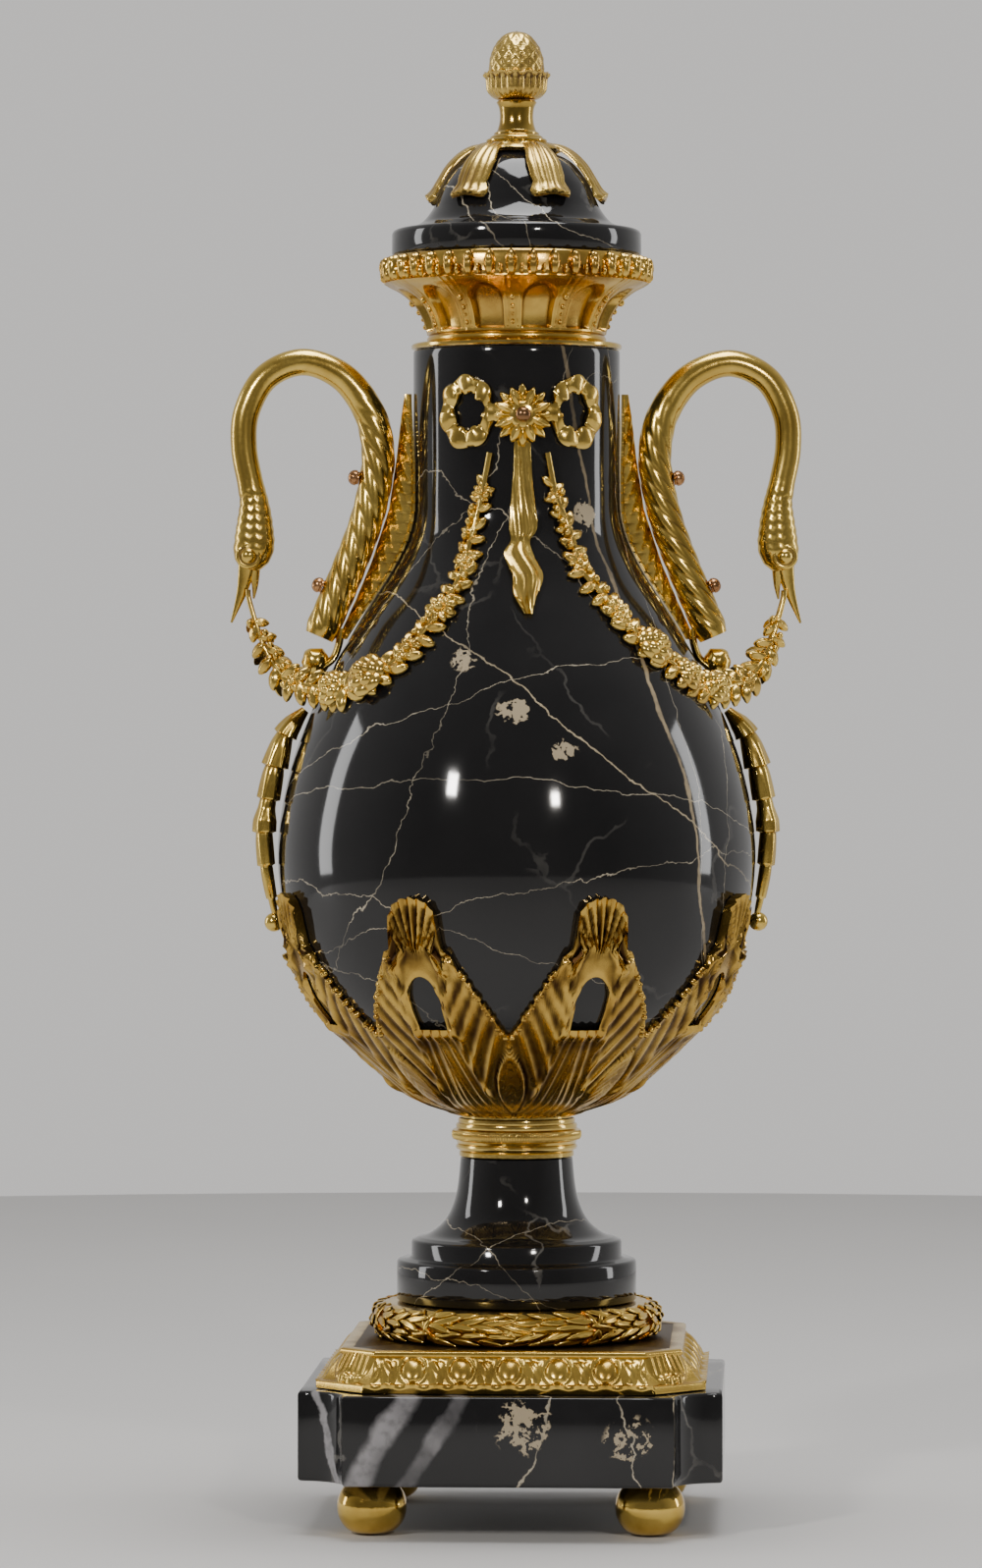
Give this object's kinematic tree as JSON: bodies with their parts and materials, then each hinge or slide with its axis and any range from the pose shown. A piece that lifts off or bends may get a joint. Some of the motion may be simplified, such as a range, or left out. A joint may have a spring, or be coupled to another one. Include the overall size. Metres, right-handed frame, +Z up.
{
  "type": "mantel urn",
  "caption": "Covered mantel urn in veined black marble with gilt-bronze mounts, swan-neck handles, flower swags and a square footed plinth.",
  "frame": {"origin": "on the urn's axis, at the undersides of the four feet", "axes": "+Z up along the axis, front towards -Y, handles nearly along X"},
  "size_m": [0.2148, 0.1798, 0.5591],
  "materials": {
    "marble": "polished black marble with pale veins",
    "gilt": "fire-gilt bronze, burnished and matt, with dark recesses",
    "copper": "worn, coppery bronze"
  },
  "bodies": {
    "root": {"foot_front_left": "gilt", "foot_front_right": "gilt", "foot_back_left": "gilt", "foot_back_right": "gilt", "base_slab": "marble", "plinth_mount": "gilt", "laurel_ring": "gilt", "marble_foot": "marble", "knurled_collar": "gilt", "leaf_cup": "gilt", "marble_body": "marble", "neck_ring": "gilt", "fluted_gallery": "gilt", "marble_lid": "marble", "lid_leaf_mount": "gilt", "finial_stem": "gilt", "finial_bud": "gilt", "swan_right": "gilt", "feather_right": "gilt", "screw_right_upper": "copper", "screw_right_lower": "copper", "drop_right": "gilt", "swan_left": "gilt", "feather_left": "gilt", "screw_left_upper": "copper", "screw_left_lower": "copper", "drop_left": "gilt", "garland_front_left": "gilt", "garland_front_right": "gilt", "garland_back_right": "gilt", "garland_back_left": "gilt", "bow_front": "gilt", "bow_back": "gilt", "pin_front": "copper", "pin_back": "copper"}
  },
  "joints": []
}
